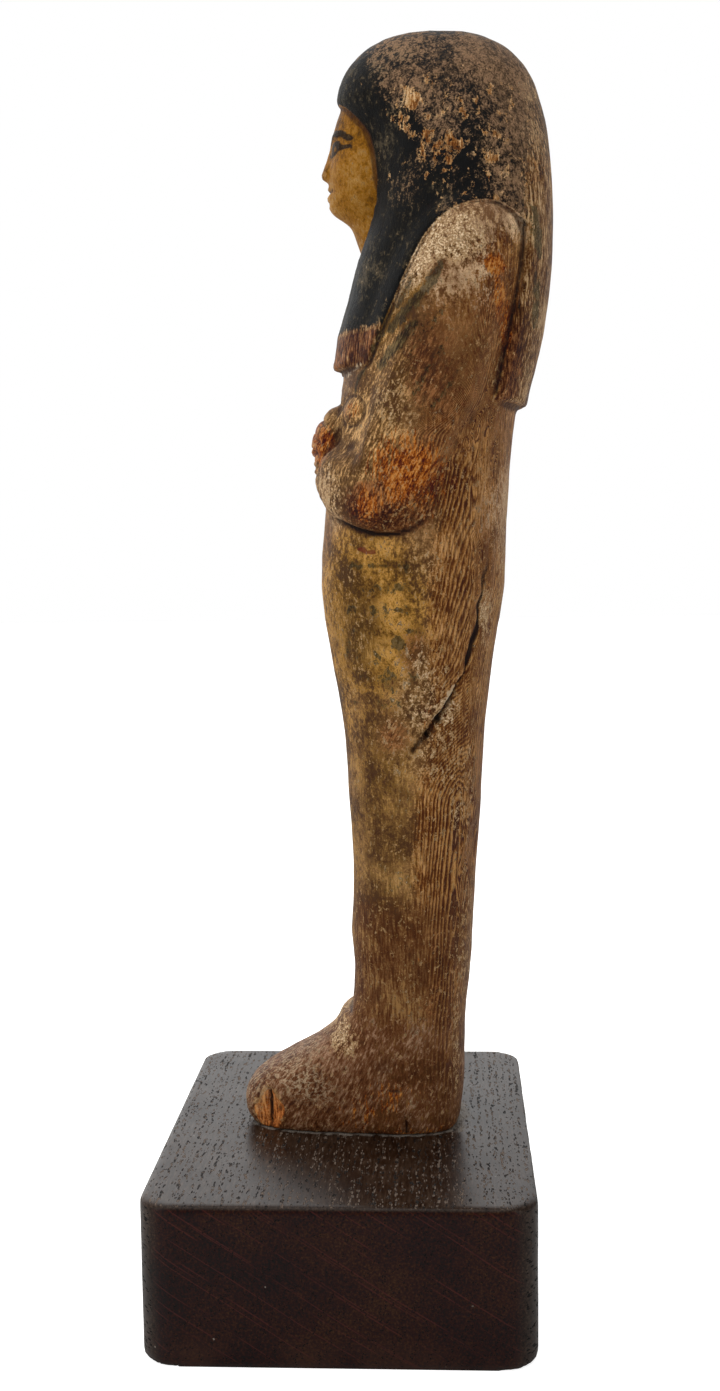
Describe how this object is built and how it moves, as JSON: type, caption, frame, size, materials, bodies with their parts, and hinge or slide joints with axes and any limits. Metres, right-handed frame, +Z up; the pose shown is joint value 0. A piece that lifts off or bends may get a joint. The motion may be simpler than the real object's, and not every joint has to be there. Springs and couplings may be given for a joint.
{
  "type": "ushabti figurine on a display block",
  "caption": "Carved and painted wooden ushabti, a mummiform figure with crossed arms and a long wig, standing on a dark display block.",
  "frame": {"origin": "centre of the display block's underside", "axes": "+Z up, the figure faces -Y, its left side is towards +X; the block's long side runs along X"},
  "size_m": [0.095, 0.081, 0.2534],
  "materials": {
    "figure_wood": "old carved wood with worn paint, matt to satin",
    "block_wood": "dark stained open-grained wood, satin"
  },
  "bodies": {
    "root": {"ushabti_figure": "figure_wood", "display_block": "block_wood"}
  },
  "joints": []
}
